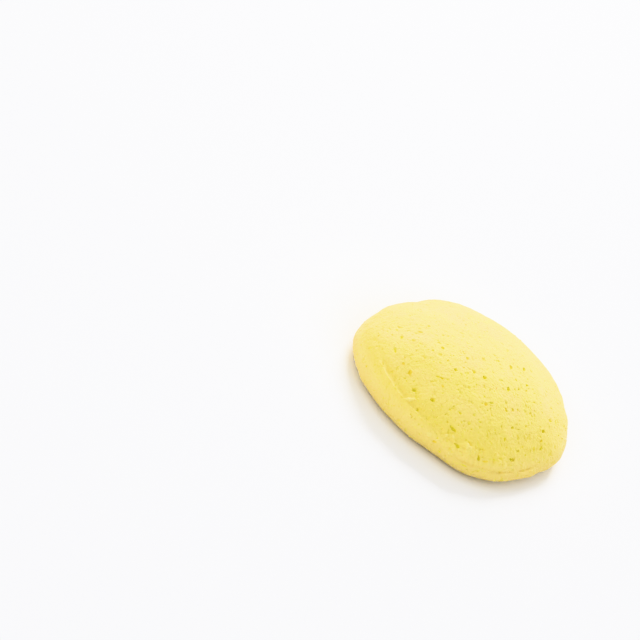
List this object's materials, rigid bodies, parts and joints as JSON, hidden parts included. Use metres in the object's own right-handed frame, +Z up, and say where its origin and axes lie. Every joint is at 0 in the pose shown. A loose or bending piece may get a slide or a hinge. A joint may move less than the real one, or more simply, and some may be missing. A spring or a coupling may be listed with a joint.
{
  "type": "shortbread biscuit",
  "caption": "Round shortbread biscuit with a flat base, a low domed top with an open pitted crumb, and a soft rolled edge.",
  "frame": {"origin": "middle of the biscuit's bounding box, on its flat base", "axes": "+Z up from the flat base through the dome; +X along the longer way across; +Y the shorter way across, towards the side where the shoulder stands highest"},
  "size_m": [0.0506, 0.0468, 0.0128],
  "materials": {
    "baked_crust": "matte, dry, finely pitted pale yellow crumb that turns a little golden at the lower edge"
  },
  "bodies": {
    "root": {"biscuit": "baked_crust"}
  },
  "joints": []
}
